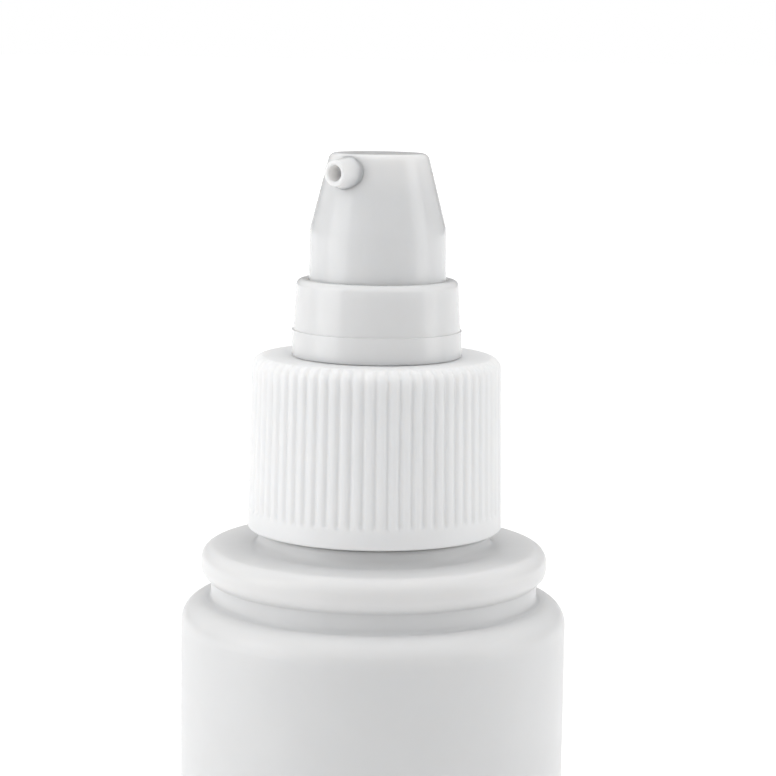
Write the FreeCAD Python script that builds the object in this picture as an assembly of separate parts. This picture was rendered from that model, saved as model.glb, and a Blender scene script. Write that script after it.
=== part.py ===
import FreeCAD, Part
import math
import os

# White pump dispenser bottle: a cylindrical plastic bottle with a threaded neck, closed by a ribbed
# screw closure that clamps a small treatment pump.  Millimetres, +Z up, the origin at the centre of
# the standing ring.  The nozzle points along -Y.

V = FreeCAD.Vector
UP = V(0, 0, 1)
ORIGIN = V(0, 0, 0)

# ---------------------------------------------------------------- bottle
BODY_RADIUS = 21.1
SHOULDER_HEIGHT = 88.3          # standing ring to the flat shoulder
SHOULDER_ROUND = 2.5
BASE_ROUND = 2.2
BOTTLE_WALL = 1.1
STANDING_RING_WIDTH = 2.4       # flat ring that the bottle stands on
BASE_DISH_DEPTH = 1.4
DISH_ROUND = 1.0
BLOWN_ROUND = 0.4               # other outer corners of the bottle
INSIDE_ROUND = 0.6              # other inner corners of the bottle
GROOVE_RADIUS = 17.85           # waist between the shoulder and the bead
GROOVE_HEIGHT = 2.2
GROOVE_ROUND = 0.5              # groove to the shoulder
BEAD_RADIUS = 18.9
BEAD_SLOPE_HEIGHT = 0.7         # sloped underside of the bead
BEAD_TOP = 5.9                  # shoulder to the bead's flat top
BEAD_TOP_ROUND = 1.5
BEAD_BOTTOM_ROUND = 1.5
NECK_ROOT_RADIUS = 10.8         # neck's wall under the thread
NECK_WALL = 1.5
NECK_BASE_STEP = 1.9            # ring under the closure, wider than the neck by this much
NECK_BASE_HEIGHT = 1.7
NECK_BASE_BLEND = 0.9           # concave round where that ring meets the bead's flat top
NECK_HEIGHT = 17.0              # bead top to the sealing land
NECK_LAND_ROUND = 0.4

# ---------------------------------------------------------------- screw thread, 24 mm neck, 1.5 turns
THREAD_PITCH = 3.175
THREAD_TURNS = 1.5
THREAD_HEIGHT = 1.15            # neck root to the ridge's crest
THREAD_BASE_WIDTH = 1.7
THREAD_CREST_WIDTH = 0.8
THREAD_FROM_LAND = 2.2          # sealing land to the middle of the ridge's upper end
THREAD_SINK = 0.2               # how far a ridge is rooted in its wall
THREAD_CREST_GAP = 0.25         # neck ridge to closure bore
THREAD_ROOT_GAP = 0.35          # closure ridge to neck root

# ---------------------------------------------------------------- ribbed closure
CLOSURE_WALL = 1.3              # at the top, where it is thinnest, ribs included
CLOSURE_DRAFT = 0.37            # the foot is wider than the top by this much
CLOSURE_FOOT_GAP = 0.35         # neck base to the closure's foot
CLOSURE_TOP_ROUND = 1.2
CLOSURE_TOP_WALL = 1.4
CLOSURE_FOOT_ROUND = 0.25
RIB_COUNT = 66
RIB_GROOVE_DEPTH = 0.3
RIB_GROOVE_WIDTH = 0.9
PLAIN_BAND_HEIGHT = 1.9
RIB_WRAP_DEG = 62.0             # how far a groove follows the rounded top edge
RIB_RUNOUT = 0.8                # straight end of a groove, which leaves the surface

# ---------------------------------------------------------------- guide collar
COLLAR_HEIGHT = 8.33            # above the closure's top
COLLAR_STEP_HEIGHT = 2.9
COLLAR_STEP = 0.13
COLLAR_STEP_ROUND = 0.065
COLLAR_DRAFT = 0.45             # the top is narrower than the foot by this much
COLLAR_TOP_ROUND = 0.7
COLLAR_SHANK_WALL = 1.2
COLLAR_LIP = 0.7                # foot beyond the shank
COLLAR_LEDGE = 0.25             # the sleeve's bore is wider than the shank's by this much
CLOSURE_TURN_GAP = 0.1          # closure hole to collar shank
CLOSURE_FACE_GAP = 0.05         # closure to collar, and closure to flange, along Z

# ---------------------------------------------------------------- pump housing and its pieces
FINE_ROUND = 0.2                # edge break on the small moulded pieces
MOULD_ROUND = 0.3
FLANGE_THICKNESS = 1.4
SOCKET_ROUND = 0.5              # barrel to flange
FLANGE_UNDER_THREAD = 0.35      # the flange passes the closure's ridge by this much
GASKET_THICKNESS = 1.0
GASKET_INSIDE_NECK = 1.3        # the gasket reaches in past the neck's bore by this much
CUP_WALL = 1.0                  # rim of the cup that takes the retainer
CUP_FLOOR = 0.6
CUP_RIM = 0.3                   # rim above the closure's top
BARREL_RADIUS = 3.8             # pump bore
BARREL_WALL = 0.9
CAGE_THICKNESS = 1.0
CAGE_RING_WIDTH = 1.1
CAGE_BAR_WIDTH = 1.0
BALL_RADIUS = 1.6
BALL_SEAT_GAP = 0.03
BALL_LIFT = 1.3
BALL_STOP_GAP = 0.1
BALL_SIDE_GAP = 0.7
INLET_RADIUS = 1.05
INLET_LENGTH = 1.4
SOCKET_LENGTH = 6.5
SOCKET_WALL = 1.2
VENT_RADIUS = 0.4
VENT_BELOW_RETAINER = 0.8
TUBE_RADIUS = 2.0
TUBE_WALL = 0.6
TUBE_END_GAP = 1.8              # tube's end to the bottle's floor
TUBE_BEVEL = 2.2

# ---------------------------------------------------------------- stem, piston and spring
STROKE = 5.0
STEM_RADIUS = 2.5
STEM_BORE_RADIUS = 1.5
STEM_FLANGE_STEP = 0.6          # flange beyond the stem
STEM_FLANGE_THICKNESS = 1.0
STEM_GUIDE_GAP = 0.08           # stem to retainer
STEM_STOP_GAP = 0.05            # stem flange to retainer, at rest
RETAINER_SLEEVE = 1.2           # retainer's sleeve below the cup floor
RETAINER_BELOW_CLOSURE = 0.1
PISTON_HEIGHT = 4.2
PISTON_LIP = 1.0
PISTON_WAIST = 0.7
PISTON_BORE_GAP = 0.05
PISTON_SHAFT_GAP = 0.05
PISTON_LOST_MOTION = 0.8
PISTON_SEAT_GAP = 0.03
ROD_BORE_RADIUS = 0.8
ROD_FOOT_THICKNESS = 1.0
ROD_PORT_RADIUS = 0.5
ROD_PORT_RISE = 0.2             # rod's foot to the lower edge of its ports
ROD_GRIP = 4.0                  # rod's length inside the stem
SPRING_WIRE_RADIUS = 0.3
SPRING_TURNS = 6.0
SPRING_LENGTH = 9.5
SPRING_SIDE_GAP = 0.35          # spring to pump bore
SPRING_END_GAP = 0.02

# ---------------------------------------------------------------- actuator and nozzle
ACTUATOR_RADIUS = 7.4
ACTUATOR_TOP_RADIUS = 5.25
ACTUATOR_TAPER_START = 13.5     # above the closure's top
ACTUATOR_TOP = 21.9             # above the closure's top
ACTUATOR_TOP_ROUND = 0.8
ACTUATOR_TAPER_ROUND = 5.0
ACTUATOR_WALL = 1.0
ACTUATOR_CROWN = 3.7            # solid top that carries the channel
ACTUATOR_OVERLAP = 2.1          # skirt inside the collar, at rest
ACTUATOR_GUIDE_GAP = 0.15       # actuator to collar
HUB_WALL = 1.2
HUB_BELOW_TAPER = 5.0
STEM_SEAT_BELOW_TOP = 4.7
STEM_TURN_GAP = 0.03            # stem to actuator hub
STEM_END_GAP = 0.05
CHANNEL_RADIUS = 0.85
NOZZLE_ROOT_RADIUS = 1.3        # shank pressed into the actuator
NOZZLE_BASE_RADIUS = 1.65       # spout where it leaves the actuator
NOZZLE_TIP_RADIUS = 1.4
NOZZLE_BORE_RADIUS = 0.85
NOZZLE_MOUTH_CHAMFER = 0.15
NOZZLE_TIP_ROUND = 0.2
NOZZLE_BELOW_TOP = 1.95         # nozzle axis below the actuator's top
NOZZLE_LENGTH = 2.65            # tip beyond the edge of the actuator's top
NOZZLE_GRIP = 2.05              # shank inside that edge
NOZZLE_BASE_SINK = 0.3          # spout's base below the button's surface, before it is trimmed to it

# ---------------------------------------------------------------- making
CUT_MARGIN = 0.5                # how far a cutter or a joined piece runs past the face it meets
SHORTEST_EDGE = 1e-6

# ---------------------------------------------------------------- levels worked out from the sizes
BEAD_TOP_Z = SHOULDER_HEIGHT + BEAD_TOP
LAND_Z = BEAD_TOP_Z + NECK_HEIGHT
FLANGE_BOTTOM_Z = LAND_Z + GASKET_THICKNESS
FLANGE_TOP_Z = FLANGE_BOTTOM_Z + FLANGE_THICKNESS
CLOSURE_TOP_Z = FLANGE_TOP_Z + CLOSURE_FACE_GAP + CLOSURE_TOP_WALL
COLLAR_SEAT_Z = CLOSURE_TOP_Z + CLOSURE_FACE_GAP
CUP_FLOOR_Z = FLANGE_BOTTOM_Z + CUP_FLOOR
RIM_TOP_Z = CLOSURE_TOP_Z + CUP_RIM
RETAINER_TOP_Z = CLOSURE_TOP_Z - RETAINER_BELOW_CLOSURE
RETAINER_BOTTOM_Z = CUP_FLOOR_Z - RETAINER_SLEEVE
STEM_FLANGE_TOP_Z = RETAINER_BOTTOM_Z - STEM_STOP_GAP
STEM_BOTTOM_Z = STEM_FLANGE_TOP_Z - STEM_FLANGE_THICKNESS
PISTON_TOP_Z = STEM_BOTTOM_Z - PISTON_LOST_MOTION - PISTON_SEAT_GAP
PISTON_BOTTOM_Z = PISTON_TOP_Z - PISTON_HEIGHT
ROD_FOOT_TOP_Z = PISTON_BOTTOM_Z - PISTON_SEAT_GAP
ROD_BOTTOM_Z = ROD_FOOT_TOP_Z - ROD_FOOT_THICKNESS
CAGE_TOP_Z = ROD_BOTTOM_Z - SPRING_LENGTH - 2 * SPRING_END_GAP
CAGE_BOTTOM_Z = CAGE_TOP_Z - CAGE_THICKNESS
BALL_Z = CAGE_BOTTOM_Z - BALL_STOP_GAP - BALL_LIFT - BALL_RADIUS
CHAMBER_RADIUS = BALL_RADIUS + BALL_SIDE_GAP
ACTUATOR_TOP_Z = CLOSURE_TOP_Z + ACTUATOR_TOP
TAPER_START_Z = CLOSURE_TOP_Z + ACTUATOR_TAPER_START
COLLAR_TOP_Z = CLOSURE_TOP_Z + COLLAR_HEIGHT
STEM_SEAT_Z = ACTUATOR_TOP_Z - STEM_SEAT_BELOW_TOP
NOZZLE_Z = ACTUATOR_TOP_Z - NOZZLE_BELOW_TOP
GUIDE_RADIUS = ACTUATOR_RADIUS + ACTUATOR_GUIDE_GAP
RIM_RADIUS = GUIDE_RADIUS - COLLAR_LEDGE
CUP_RADIUS = RIM_RADIUS - CUP_WALL
SHANK_RADIUS = RIM_RADIUS + COLLAR_SHANK_WALL
COLLAR_FOOT_RADIUS = SHANK_RADIUS + COLLAR_LIP
COLLAR_TOP_RADIUS = COLLAR_FOOT_RADIUS - COLLAR_DRAFT
STEM_FLANGE_RADIUS = STEM_RADIUS + STEM_FLANGE_STEP
NOZZLE_TIP_REACH = ACTUATOR_TOP_RADIUS + NOZZLE_LENGTH
NOZZLE_ROOT_REACH = ACTUATOR_TOP_RADIUS - NOZZLE_GRIP
NECK_BORE_RADIUS = NECK_ROOT_RADIUS - NECK_WALL
NECK_BASE_RADIUS = NECK_ROOT_RADIUS + NECK_BASE_STEP
NECK_BASE_TOP_Z = BEAD_TOP_Z + NECK_BASE_HEIGHT
GASKET_BORE_RADIUS = NECK_BORE_RADIUS - GASKET_INSIDE_NECK
CLOSURE_BORE_RADIUS = NECK_ROOT_RADIUS + THREAD_HEIGHT + THREAD_CREST_GAP
CLOSURE_TOP_RADIUS = CLOSURE_BORE_RADIUS + CLOSURE_WALL
CLOSURE_FOOT_RADIUS = CLOSURE_TOP_RADIUS + CLOSURE_DRAFT
CLOSURE_FOOT_Z = NECK_BASE_TOP_Z + CLOSURE_FOOT_GAP
CLOSURE_RIDGE_RADIUS = NECK_ROOT_RADIUS + THREAD_ROOT_GAP
FLANGE_RADIUS = CLOSURE_RIDGE_RADIUS - FLANGE_UNDER_THREAD
FLOOR_Z = BASE_DISH_DEPTH + BOTTLE_WALL


# ---------------------------------------------------------------- shape helpers
def corner_arc(before, corner, after, radius):
    """Tangent points and middle of the arc that rounds one corner of an outline."""
    to_before = (before - corner).normalize()
    to_after = (after - corner).normalize()
    half_angle = to_before.getAngle(to_after) / 2.0
    reach = radius / math.tan(half_angle)
    bisector = (to_before + to_after).normalize()
    centre = corner + bisector * (radius / math.sin(half_angle))
    return corner + to_before * reach, centre - bisector * radius, corner + to_after * reach


def outline_face(corners):
    """Flat face in the XZ plane from (radius, height) or (radius, height, rounding) corners."""
    points = [V(c[0], 0, c[1]) for c in corners]
    rounds = [c[2] if len(c) > 2 else 0.0 for c in corners]
    stops = []
    arcs = []
    for i, point in enumerate(points):
        if rounds[i] > 0:
            start, middle, end = corner_arc(points[i - 1], point, points[(i + 1) % len(points)], rounds[i])
            arcs.append(Part.Arc(start, middle, end).toShape())
            stops.append((start, end))
        else:
            arcs.append(None)
            stops.append((point, point))
    edges = []
    for i in range(len(points)):
        if arcs[i] is not None:
            edges.append(arcs[i])
        start = stops[i][1]
        end = stops[(i + 1) % len(points)][0]
        if start.distanceToPoint(end) > SHORTEST_EDGE:
            edges.append(Part.makeLine(start, end))
    return Part.Face(Part.Wire(edges))


def turned(corners):
    """Solid of revolution about Z."""
    return outline_face(corners).revolve(ORIGIN, UP, 360)


def ring(outer, inner, bottom, top):
    """Plain ring or tube about Z."""
    return turned([(inner, bottom), (outer, bottom), (outer, top), (inner, top)])


def rod_z(radius, bottom, top):
    """Plain cylinder on the Z axis."""
    return Part.makeCylinder(radius, top - bottom, V(0, 0, bottom), UP)


def rod_y(radius, near, far, height):
    """Plain cylinder along -Y, from one reach to another, at a height."""
    return Part.makeCylinder(radius, far - near, V(0, -near, height), V(0, -1, 0))


def thread_ridge(wall_radius, crest_radius, first_z):
    """Helical ridge rooted in a wall, from its lower end up; it works outwards or inwards."""
    outwards = 1.0 if crest_radius > wall_radius else -1.0
    flank = (THREAD_BASE_WIDTH - THREAD_CREST_WIDTH) / 2.0 / abs(crest_radius - wall_radius)
    half_root = THREAD_BASE_WIDTH / 2.0 + flank * THREAD_SINK
    half_crest = THREAD_CREST_WIDTH / 2.0
    root_radius = wall_radius - outwards * THREAD_SINK
    corners = [(root_radius, -half_root), (crest_radius, -half_crest),
               (crest_radius, half_crest), (root_radius, half_root)]
    rise = THREAD_PITCH * THREAD_TURNS
    helices = []
    for radius, height in corners:
        helix = Part.makeHelix(THREAD_PITCH, rise, radius)
        helix.translate(V(0, 0, first_z + height))
        helices.append(helix.Edges[0])
    faces = [Part.makeRuledSurface(helices[i], helices[(i + 1) % 4]) for i in range(4)]
    for turns, climb in ((0.0, 0.0), (THREAD_TURNS, rise)):
        angle = 2.0 * math.pi * turns
        end = [V(radius * math.cos(angle), radius * math.sin(angle), first_z + height + climb)
               for radius, height in corners]
        faces.append(Part.Face(Part.makePolygon(end + end[:1])))
    ridge = Part.Solid(Part.Shell(faces))
    if ridge.Volume < 0:
        ridge.reverse()
    return ridge


def save(shape, node):
    """Write one node's STEP file, after checking its solids."""
    clean = shape.removeSplitter()
    if not clean.isValid():
        clean = shape
    clean.exportStep(os.path.join("parts", node + ".step"))
    print("%-16s solids %d  valid %s  volume %.1f mm3"
          % (node, len(clean.Solids), clean.isValid(), clean.Volume))


# ---------------------------------------------------------------- bottle
THREAD_TOP_Z = LAND_Z - THREAD_FROM_LAND
THREAD_FIRST_Z = THREAD_TOP_Z - THREAD_PITCH * THREAD_TURNS


def make_bottle():
    """Blown bottle: dished base, body, flat shoulder, groove, wide bead and threaded neck."""
    ring_outer = BODY_RADIUS - BASE_ROUND
    dish_edge = ring_outer - STANDING_RING_WIDTH
    inner_radius = BODY_RADIUS - BOTTLE_WALL
    inner_base_round = BASE_ROUND - BOTTLE_WALL / 2.0
    shoulder_under = SHOULDER_HEIGHT - BOTTLE_WALL
    inner_shoulder_round = SHOULDER_ROUND - BOTTLE_WALL / 2.0
    groove_top = SHOULDER_HEIGHT + GROOVE_HEIGHT
    waist_inside = GROOVE_RADIUS - BOTTLE_WALL
    bead_under = BEAD_TOP_Z - BOTTLE_WALL
    shell = turned([
        (0, BASE_DISH_DEPTH),
        (dish_edge - BASE_DISH_DEPTH, BASE_DISH_DEPTH, DISH_ROUND),
        (dish_edge, 0, BLOWN_ROUND),
        (BODY_RADIUS, 0, BASE_ROUND),
        (BODY_RADIUS, SHOULDER_HEIGHT, SHOULDER_ROUND),
        (GROOVE_RADIUS, SHOULDER_HEIGHT, GROOVE_ROUND),
        (GROOVE_RADIUS, groove_top, MOULD_ROUND),
        (BEAD_RADIUS, groove_top + BEAD_SLOPE_HEIGHT, BEAD_BOTTOM_ROUND),
        (BEAD_RADIUS, BEAD_TOP_Z, BEAD_TOP_ROUND),
        (NECK_BASE_RADIUS, BEAD_TOP_Z, NECK_BASE_BLEND),
        (NECK_BASE_RADIUS, NECK_BASE_TOP_Z, BLOWN_ROUND),
        (NECK_ROOT_RADIUS, NECK_BASE_TOP_Z, MOULD_ROUND),
        (NECK_ROOT_RADIUS, LAND_Z, NECK_LAND_ROUND),
        (NECK_BORE_RADIUS, LAND_Z, FINE_ROUND),
        (NECK_BORE_RADIUS, bead_under, INSIDE_ROUND),
        (waist_inside, bead_under, INSIDE_ROUND),
        (waist_inside, shoulder_under, BLOWN_ROUND),
        (inner_radius, shoulder_under, inner_shoulder_round),
        (inner_radius, BOTTLE_WALL, inner_base_round),
        (dish_edge, BOTTLE_WALL, INSIDE_ROUND),
        (dish_edge - BASE_DISH_DEPTH, FLOOR_Z, DISH_ROUND),
        (0, FLOOR_Z),
    ])
    ridge = thread_ridge(NECK_ROOT_RADIUS, NECK_ROOT_RADIUS + THREAD_HEIGHT, THREAD_FIRST_Z)
    return shell.fuse(ridge)


# ---------------------------------------------------------------- closure
def rib_groove_cutter():
    """Round cutter that runs up the closure's draft and over its rounded top edge."""
    half_width = RIB_GROOVE_WIDTH / 2.0
    cutter_radius = (half_width ** 2 + RIB_GROOVE_DEPTH ** 2) / (2.0 * RIB_GROOVE_DEPTH)
    stand_off = cutter_radius - RIB_GROOVE_DEPTH
    foot = V(CLOSURE_FOOT_RADIUS, 0, CLOSURE_FOOT_Z)
    corner = V(CLOSURE_TOP_RADIUS, 0, CLOSURE_TOP_Z)
    inward = V(0, 0, CLOSURE_TOP_Z)
    start, middle, end = corner_arc(foot, corner, inward, CLOSURE_TOP_ROUND)
    along = (corner - foot).normalize()
    outward = V(along.z, 0, -along.x)
    centre = start - outward * CLOSURE_TOP_ROUND
    path_radius = CLOSURE_TOP_ROUND + stand_off
    first = foot + along * (PLAIN_BAND_HEIGHT / along.z) + outward * stand_off

    def on_arc(angle_deg):
        angle = math.radians(angle_deg)
        return centre + (outward * math.cos(angle) + along * math.sin(angle)) * path_radius

    last = on_arc(RIB_WRAP_DEG)
    leave = math.radians(RIB_WRAP_DEG)
    tangent = along * math.cos(leave) - outward * math.sin(leave)
    spine = Part.Wire([
        Part.makeLine(first, on_arc(0)),
        Part.Arc(on_arc(0), on_arc(RIB_WRAP_DEG / 2.0), last).toShape(),
        Part.makeLine(last, last + tangent * RIB_RUNOUT),
    ])
    section = Part.Wire(Part.makeCircle(cutter_radius, first, along))
    return spine.makePipeShell([section], True, False)


def make_closure():
    """Ribbed screw closure with an internal thread and a hole for the collar."""
    hole = SHANK_RADIUS + CLOSURE_TURN_GAP
    shell = turned([
        (CLOSURE_BORE_RADIUS, CLOSURE_FOOT_Z, FINE_ROUND),
        (CLOSURE_FOOT_RADIUS, CLOSURE_FOOT_Z, CLOSURE_FOOT_ROUND),
        (CLOSURE_TOP_RADIUS, CLOSURE_TOP_Z, CLOSURE_TOP_ROUND),
        (hole, CLOSURE_TOP_Z),
        (hole, CLOSURE_TOP_Z - CLOSURE_TOP_WALL),
        (CLOSURE_BORE_RADIUS, CLOSURE_TOP_Z - CLOSURE_TOP_WALL, MOULD_ROUND),
    ])
    cutter = rib_groove_cutter()
    grooves = []
    for index in range(RIB_COUNT):
        groove = cutter.copy()
        groove.rotate(ORIGIN, UP, 360.0 * index / RIB_COUNT)
        grooves.append(groove)
    shell = shell.cut(Part.makeCompound(grooves))
    ridge = thread_ridge(CLOSURE_BORE_RADIUS, CLOSURE_RIDGE_RADIUS, THREAD_FIRST_Z - THREAD_PITCH / 2.0)
    return shell.fuse(ridge)


# ---------------------------------------------------------------- pump body
def make_collar():
    """Glossy guide collar: a shank through the closure, a plinth and a tapered sleeve."""
    step_z = CLOSURE_TOP_Z + COLLAR_STEP_HEIGHT
    return turned([
        (RIM_RADIUS, FLANGE_TOP_Z),
        (SHANK_RADIUS, FLANGE_TOP_Z),
        (SHANK_RADIUS, COLLAR_SEAT_Z),
        (COLLAR_FOOT_RADIUS, COLLAR_SEAT_Z),
        (COLLAR_FOOT_RADIUS, step_z, COLLAR_STEP_ROUND),
        (COLLAR_FOOT_RADIUS - COLLAR_STEP, step_z),
        (COLLAR_TOP_RADIUS, COLLAR_TOP_Z, COLLAR_TOP_ROUND),
        (GUIDE_RADIUS, COLLAR_TOP_Z, FINE_ROUND),
        (GUIDE_RADIUS, RIM_TOP_Z),
        (RIM_RADIUS, RIM_TOP_Z),
    ])


def make_housing():
    """Pump housing: flange with a cup, barrel, ball chamber with a cone seat, and tube socket."""
    barrel_outer = BARREL_RADIUS + BARREL_WALL
    seat_contact = BALL_RADIUS * math.sqrt(0.5)
    seat_bottom_z = BALL_Z - 2.0 * seat_contact - BALL_SEAT_GAP + INLET_RADIUS
    seat_top_z = seat_bottom_z + CHAMBER_RADIUS - INLET_RADIUS
    socket_top_z = seat_bottom_z - INLET_LENGTH
    socket_bottom_z = socket_top_z - SOCKET_LENGTH
    socket_outer = TUBE_RADIUS + SOCKET_WALL
    chamber_outer = CHAMBER_RADIUS + BARREL_WALL
    body = turned([
        (TUBE_RADIUS, socket_bottom_z),
        (socket_outer, socket_bottom_z, MOULD_ROUND),
        (socket_outer, seat_bottom_z),
        (chamber_outer, seat_top_z),
        (chamber_outer, CAGE_BOTTOM_Z - BARREL_WALL - (barrel_outer - chamber_outer)),
        (barrel_outer, CAGE_BOTTOM_Z - BARREL_WALL, MOULD_ROUND),
        (barrel_outer, FLANGE_BOTTOM_Z, SOCKET_ROUND),
        (FLANGE_RADIUS, FLANGE_BOTTOM_Z, FINE_ROUND),
        (FLANGE_RADIUS, FLANGE_TOP_Z, FINE_ROUND),
        (RIM_RADIUS, FLANGE_TOP_Z),
        (RIM_RADIUS, RIM_TOP_Z),
        (CUP_RADIUS, RIM_TOP_Z),
        (CUP_RADIUS, CUP_FLOOR_Z),
        (BARREL_RADIUS, CUP_FLOOR_Z),
        (BARREL_RADIUS, CAGE_BOTTOM_Z),
        (CHAMBER_RADIUS, CAGE_BOTTOM_Z),
        (CHAMBER_RADIUS, seat_top_z),
        (INLET_RADIUS, seat_bottom_z),
        (INLET_RADIUS, socket_top_z),
        (TUBE_RADIUS, socket_top_z),
    ])
    vent_z = RETAINER_BOTTOM_Z - VENT_BELOW_RETAINER
    vent = Part.makeCylinder(VENT_RADIUS, 2 * barrel_outer, V(BARREL_RADIUS / 2, 0, vent_z), V(1, 0, 0))
    return body.cut(vent), socket_top_z


def make_gasket():
    """Flat foam ring between the flange and the neck's land."""
    return ring(FLANGE_RADIUS, GASKET_BORE_RADIUS, LAND_Z, FLANGE_BOTTOM_Z)


def make_retainer():
    """Plug in the housing's cup, which guides the stem and stops it at the top."""
    bore = STEM_RADIUS + STEM_GUIDE_GAP
    return turned([
        (bore, RETAINER_BOTTOM_Z),
        (BARREL_RADIUS, RETAINER_BOTTOM_Z),
        (BARREL_RADIUS, CUP_FLOOR_Z),
        (CUP_RADIUS, CUP_FLOOR_Z),
        (CUP_RADIUS, RETAINER_TOP_Z, MOULD_ROUND),
        (bore, RETAINER_TOP_Z, MOULD_ROUND),
    ])


def make_cage():
    """Ring with a cross, which keeps the ball in its chamber and carries the spring."""
    inner = BARREL_RADIUS - CAGE_RING_WIDTH
    cage = ring(BARREL_RADIUS, inner, CAGE_BOTTOM_Z, CAGE_TOP_Z)
    reach = BARREL_RADIUS - CAGE_RING_WIDTH / 2.0
    for angle in (0.0, 90.0):
        bar = Part.makeBox(2 * reach, CAGE_BAR_WIDTH, CAGE_THICKNESS,
                           V(-reach, -CAGE_BAR_WIDTH / 2.0, CAGE_BOTTOM_Z))
        bar.rotate(ORIGIN, UP, angle)
        cage = cage.fuse(bar)
    return cage


def make_dip_tube(top_z):
    """Suction tube from the housing's socket to just above the bottle's floor, cut to a bevel."""
    bottom_z = FLOOR_Z + TUBE_END_GAP
    tube = ring(TUBE_RADIUS, TUBE_RADIUS - TUBE_WALL, bottom_z, top_z)
    reach = TUBE_RADIUS + CUT_MARGIN
    wedge = Part.Face(Part.makePolygon([
        V(-reach, -reach, bottom_z - CUT_MARGIN),
        V(reach, -reach, bottom_z - CUT_MARGIN),
        V(reach, -reach, bottom_z + TUBE_BEVEL),
        V(-reach, -reach, bottom_z - CUT_MARGIN),
    ]))
    bevel = wedge.extrude(V(0, 2 * reach, 0))
    return tube.cut(bevel)


def make_spring():
    """Return spring: a round wire helix between the cage and the rod's foot."""
    bottom_z = CAGE_TOP_Z + SPRING_END_GAP + SPRING_WIRE_RADIUS
    length = SPRING_LENGTH - 2 * SPRING_WIRE_RADIUS
    coil_radius = BARREL_RADIUS - SPRING_SIDE_GAP - SPRING_WIRE_RADIUS
    spine = Part.Wire(Part.makeHelix(length / SPRING_TURNS, length, coil_radius).Edges)
    section = Part.Wire(Part.makeCircle(SPRING_WIRE_RADIUS, V(coil_radius, 0, 0), V(0, 1, 0)))
    spring = spine.makePipeShell([section], True, True)
    spring.translate(V(0, 0, bottom_z))
    return spring


# ---------------------------------------------------------------- moving pump pieces
def make_ball():
    """Inlet check ball on its cone seat."""
    return Part.makeSphere(BALL_RADIUS, V(0, 0, BALL_Z))


def make_piston():
    """Piston with an upper and a lower sealing lip, free to slide a little on the rod."""
    lip = BARREL_RADIUS - PISTON_BORE_GAP
    waist = lip - PISTON_WAIST
    bore = STEM_BORE_RADIUS + PISTON_SHAFT_GAP
    return turned([
        (bore, PISTON_BOTTOM_Z),
        (lip, PISTON_BOTTOM_Z, FINE_ROUND),
        (lip, PISTON_BOTTOM_Z + PISTON_LIP * 0.5),
        (waist, PISTON_BOTTOM_Z + PISTON_LIP),
        (waist, PISTON_TOP_Z - PISTON_LIP),
        (lip, PISTON_TOP_Z - PISTON_LIP * 0.5),
        (lip, PISTON_TOP_Z, FINE_ROUND),
        (bore, PISTON_TOP_Z),
    ])


def make_rod():
    """Hollow valve rod: a foot that the piston seats on, cross ports above it, a shaft in the stem."""
    top_z = STEM_BOTTOM_Z + ROD_GRIP
    rod = turned([
        (0, ROD_BOTTOM_Z),
        (STEM_FLANGE_RADIUS, ROD_BOTTOM_Z, FINE_ROUND),
        (STEM_FLANGE_RADIUS, ROD_FOOT_TOP_Z, FINE_ROUND),
        (STEM_BORE_RADIUS, ROD_FOOT_TOP_Z),
        (STEM_BORE_RADIUS, top_z),
        (ROD_BORE_RADIUS, top_z),
        (ROD_BORE_RADIUS, ROD_FOOT_TOP_Z),
        (0, ROD_FOOT_TOP_Z),
    ])
    port_z = ROD_FOOT_TOP_Z + ROD_PORT_RISE + ROD_PORT_RADIUS
    for direction in (V(1, 0, 0), V(0, 1, 0)):
        start = V(0, 0, port_z) - direction * 2 * STEM_BORE_RADIUS
        rod = rod.cut(Part.makeCylinder(ROD_PORT_RADIUS, 4 * STEM_BORE_RADIUS, start, direction))
    return rod


def make_stem():
    """Hollow stem: a flange that stops under the retainer, and a tube up to the actuator."""
    top_z = STEM_SEAT_Z - STEM_END_GAP
    return turned([
        (STEM_BORE_RADIUS, STEM_BOTTOM_Z),
        (STEM_FLANGE_RADIUS, STEM_BOTTOM_Z, FINE_ROUND),
        (STEM_FLANGE_RADIUS, STEM_FLANGE_TOP_Z, FINE_ROUND),
        (STEM_RADIUS, STEM_FLANGE_TOP_Z),
        (STEM_RADIUS, top_z, MOULD_ROUND),
        (STEM_BORE_RADIUS, top_z),
    ])


def make_button():
    """Finger button without its channel: a tapered glossy shell with a hub for the stem."""
    skirt_z = COLLAR_TOP_Z - ACTUATOR_OVERLAP
    crown_z = ACTUATOR_TOP_Z - ACTUATOR_CROWN
    taper = (ACTUATOR_RADIUS - ACTUATOR_TOP_RADIUS) / (ACTUATOR_TOP_Z - TAPER_START_Z)
    inner = ACTUATOR_RADIUS - ACTUATOR_WALL
    inner_crown = inner - taper * (crown_z - TAPER_START_Z)
    hub_bore = STEM_RADIUS + STEM_TURN_GAP
    hub_outer = hub_bore + HUB_WALL
    hub_z = TAPER_START_Z - HUB_BELOW_TAPER
    return turned([
        (0, STEM_SEAT_Z),
        (hub_bore, STEM_SEAT_Z),
        (hub_bore, hub_z, MOULD_ROUND),
        (hub_outer, hub_z, MOULD_ROUND),
        (hub_outer, crown_z, MOULD_ROUND),
        (inner_crown, crown_z, MOULD_ROUND),
        (inner, TAPER_START_Z),
        (inner, skirt_z),
        (ACTUATOR_RADIUS, skirt_z, MOULD_ROUND),
        (ACTUATOR_RADIUS, TAPER_START_Z, ACTUATOR_TAPER_ROUND),
        (ACTUATOR_TOP_RADIUS, ACTUATOR_TOP_Z, ACTUATOR_TOP_ROUND),
        (0, ACTUATOR_TOP_Z),
    ])


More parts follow.
